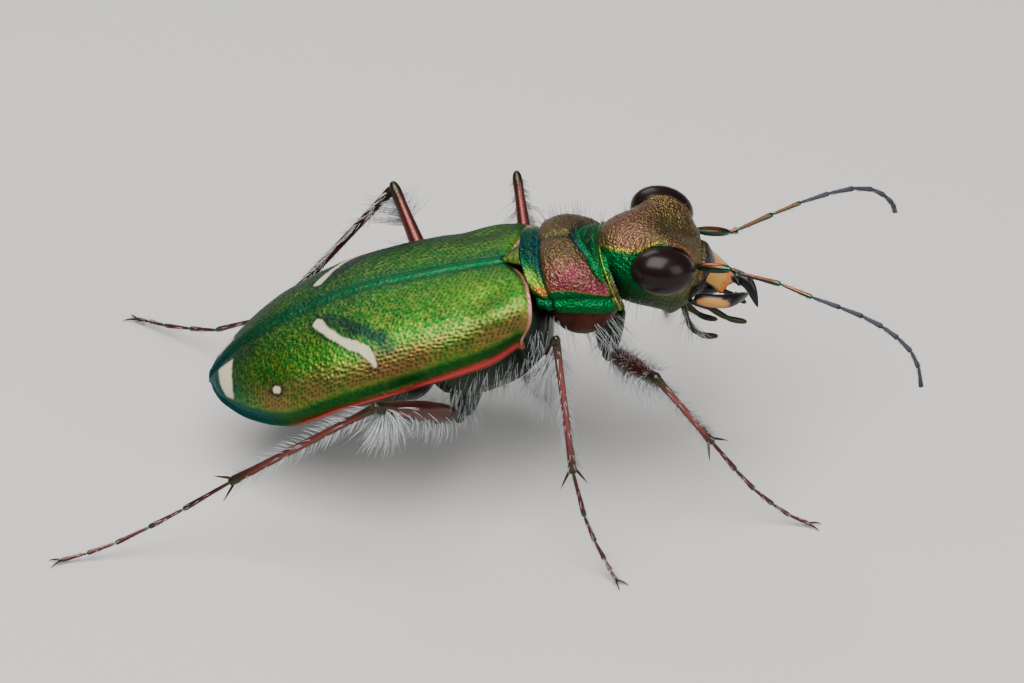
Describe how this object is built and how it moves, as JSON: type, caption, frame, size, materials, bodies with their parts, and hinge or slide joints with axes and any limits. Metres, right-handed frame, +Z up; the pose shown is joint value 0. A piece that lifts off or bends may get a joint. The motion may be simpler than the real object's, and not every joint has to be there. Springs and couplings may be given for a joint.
{
  "type": "tiger beetle",
  "caption": "Still, life-size tiger beetle standing with its front raised, feelers forward and legs spread on a flat floor.",
  "frame": {"origin": "middle of the footprint on the floor, under the bounding box", "axes": "+X towards the head, +Y to the beetle's left, +Z up"},
  "size_m": [0.022, 0.0128, 0.0073],
  "materials": {
    "green_shell": "metallic green chitin with gold flecks, cream marks",
    "copper_shell": "coppery chitin with green borders",
    "bronze_head": "finely wrinkled bronze chitin",
    "underside": "green-black chitin with white hairs",
    "eye": "glossy dark brown facets",
    "cream_horn": "smooth cream chitin",
    "black_horn": "smooth black chitin",
    "copper_leg": "coppery chitin with pink sheen",
    "grey_feeler": "matt grey-blue chitin"
  },
  "bodies": {
    "root": {"scutellum": "green_shell", "pronotum": "copper_shell", "prosternum": "underside", "pterothorax": "underside", "abdomen": "underside", "head": "bronze_head", "labrum": "cream_horn", "elytron_right": "green_shell", "elytron_left": "green_shell", "eye_right": "eye", "eye_left": "eye", "mandible_right": "black_horn", "maxillary_palp_right": "black_horn", "labial_palp_right": "black_horn", "antenna_right_scape": "copper_leg", "antenna_right_base": "grey_feeler", "antenna_right_middle": "grey_feeler", "antenna_right_tip": "grey_feeler", "mandible_left": "black_horn", "maxillary_palp_left": "black_horn", "labial_palp_left": "black_horn", "antenna_left_scape": "copper_leg", "antenna_left_base": "grey_feeler", "antenna_left_middle": "grey_feeler", "antenna_left_tip": "grey_feeler", "fore_right_coxa": "underside", "fore_right_femur": "copper_leg", "fore_right_tibia": "copper_leg", "fore_right_tarsus": "copper_leg", "fore_left_coxa": "underside", "fore_left_femur": "copper_leg", "fore_left_tibia": "copper_leg", "fore_left_tarsus": "copper_leg", "mid_right_coxa": "underside", "mid_right_femur": "copper_leg", "mid_right_tibia": "copper_leg", "mid_right_tarsus": "copper_leg", "mid_left_coxa": "underside", "mid_left_femur": "copper_leg", "mid_left_tibia": "copper_leg", "mid_left_tarsus": "copper_leg", "hind_right_coxa": "underside", "hind_right_femur": "copper_leg", "hind_right_tibia": "copper_leg", "hind_right_tarsus": "copper_leg", "hind_left_coxa": "underside", "hind_left_femur": "copper_leg", "hind_left_tibia": "copper_leg", "hind_left_tarsus": "copper_leg"}
  },
  "joints": []
}
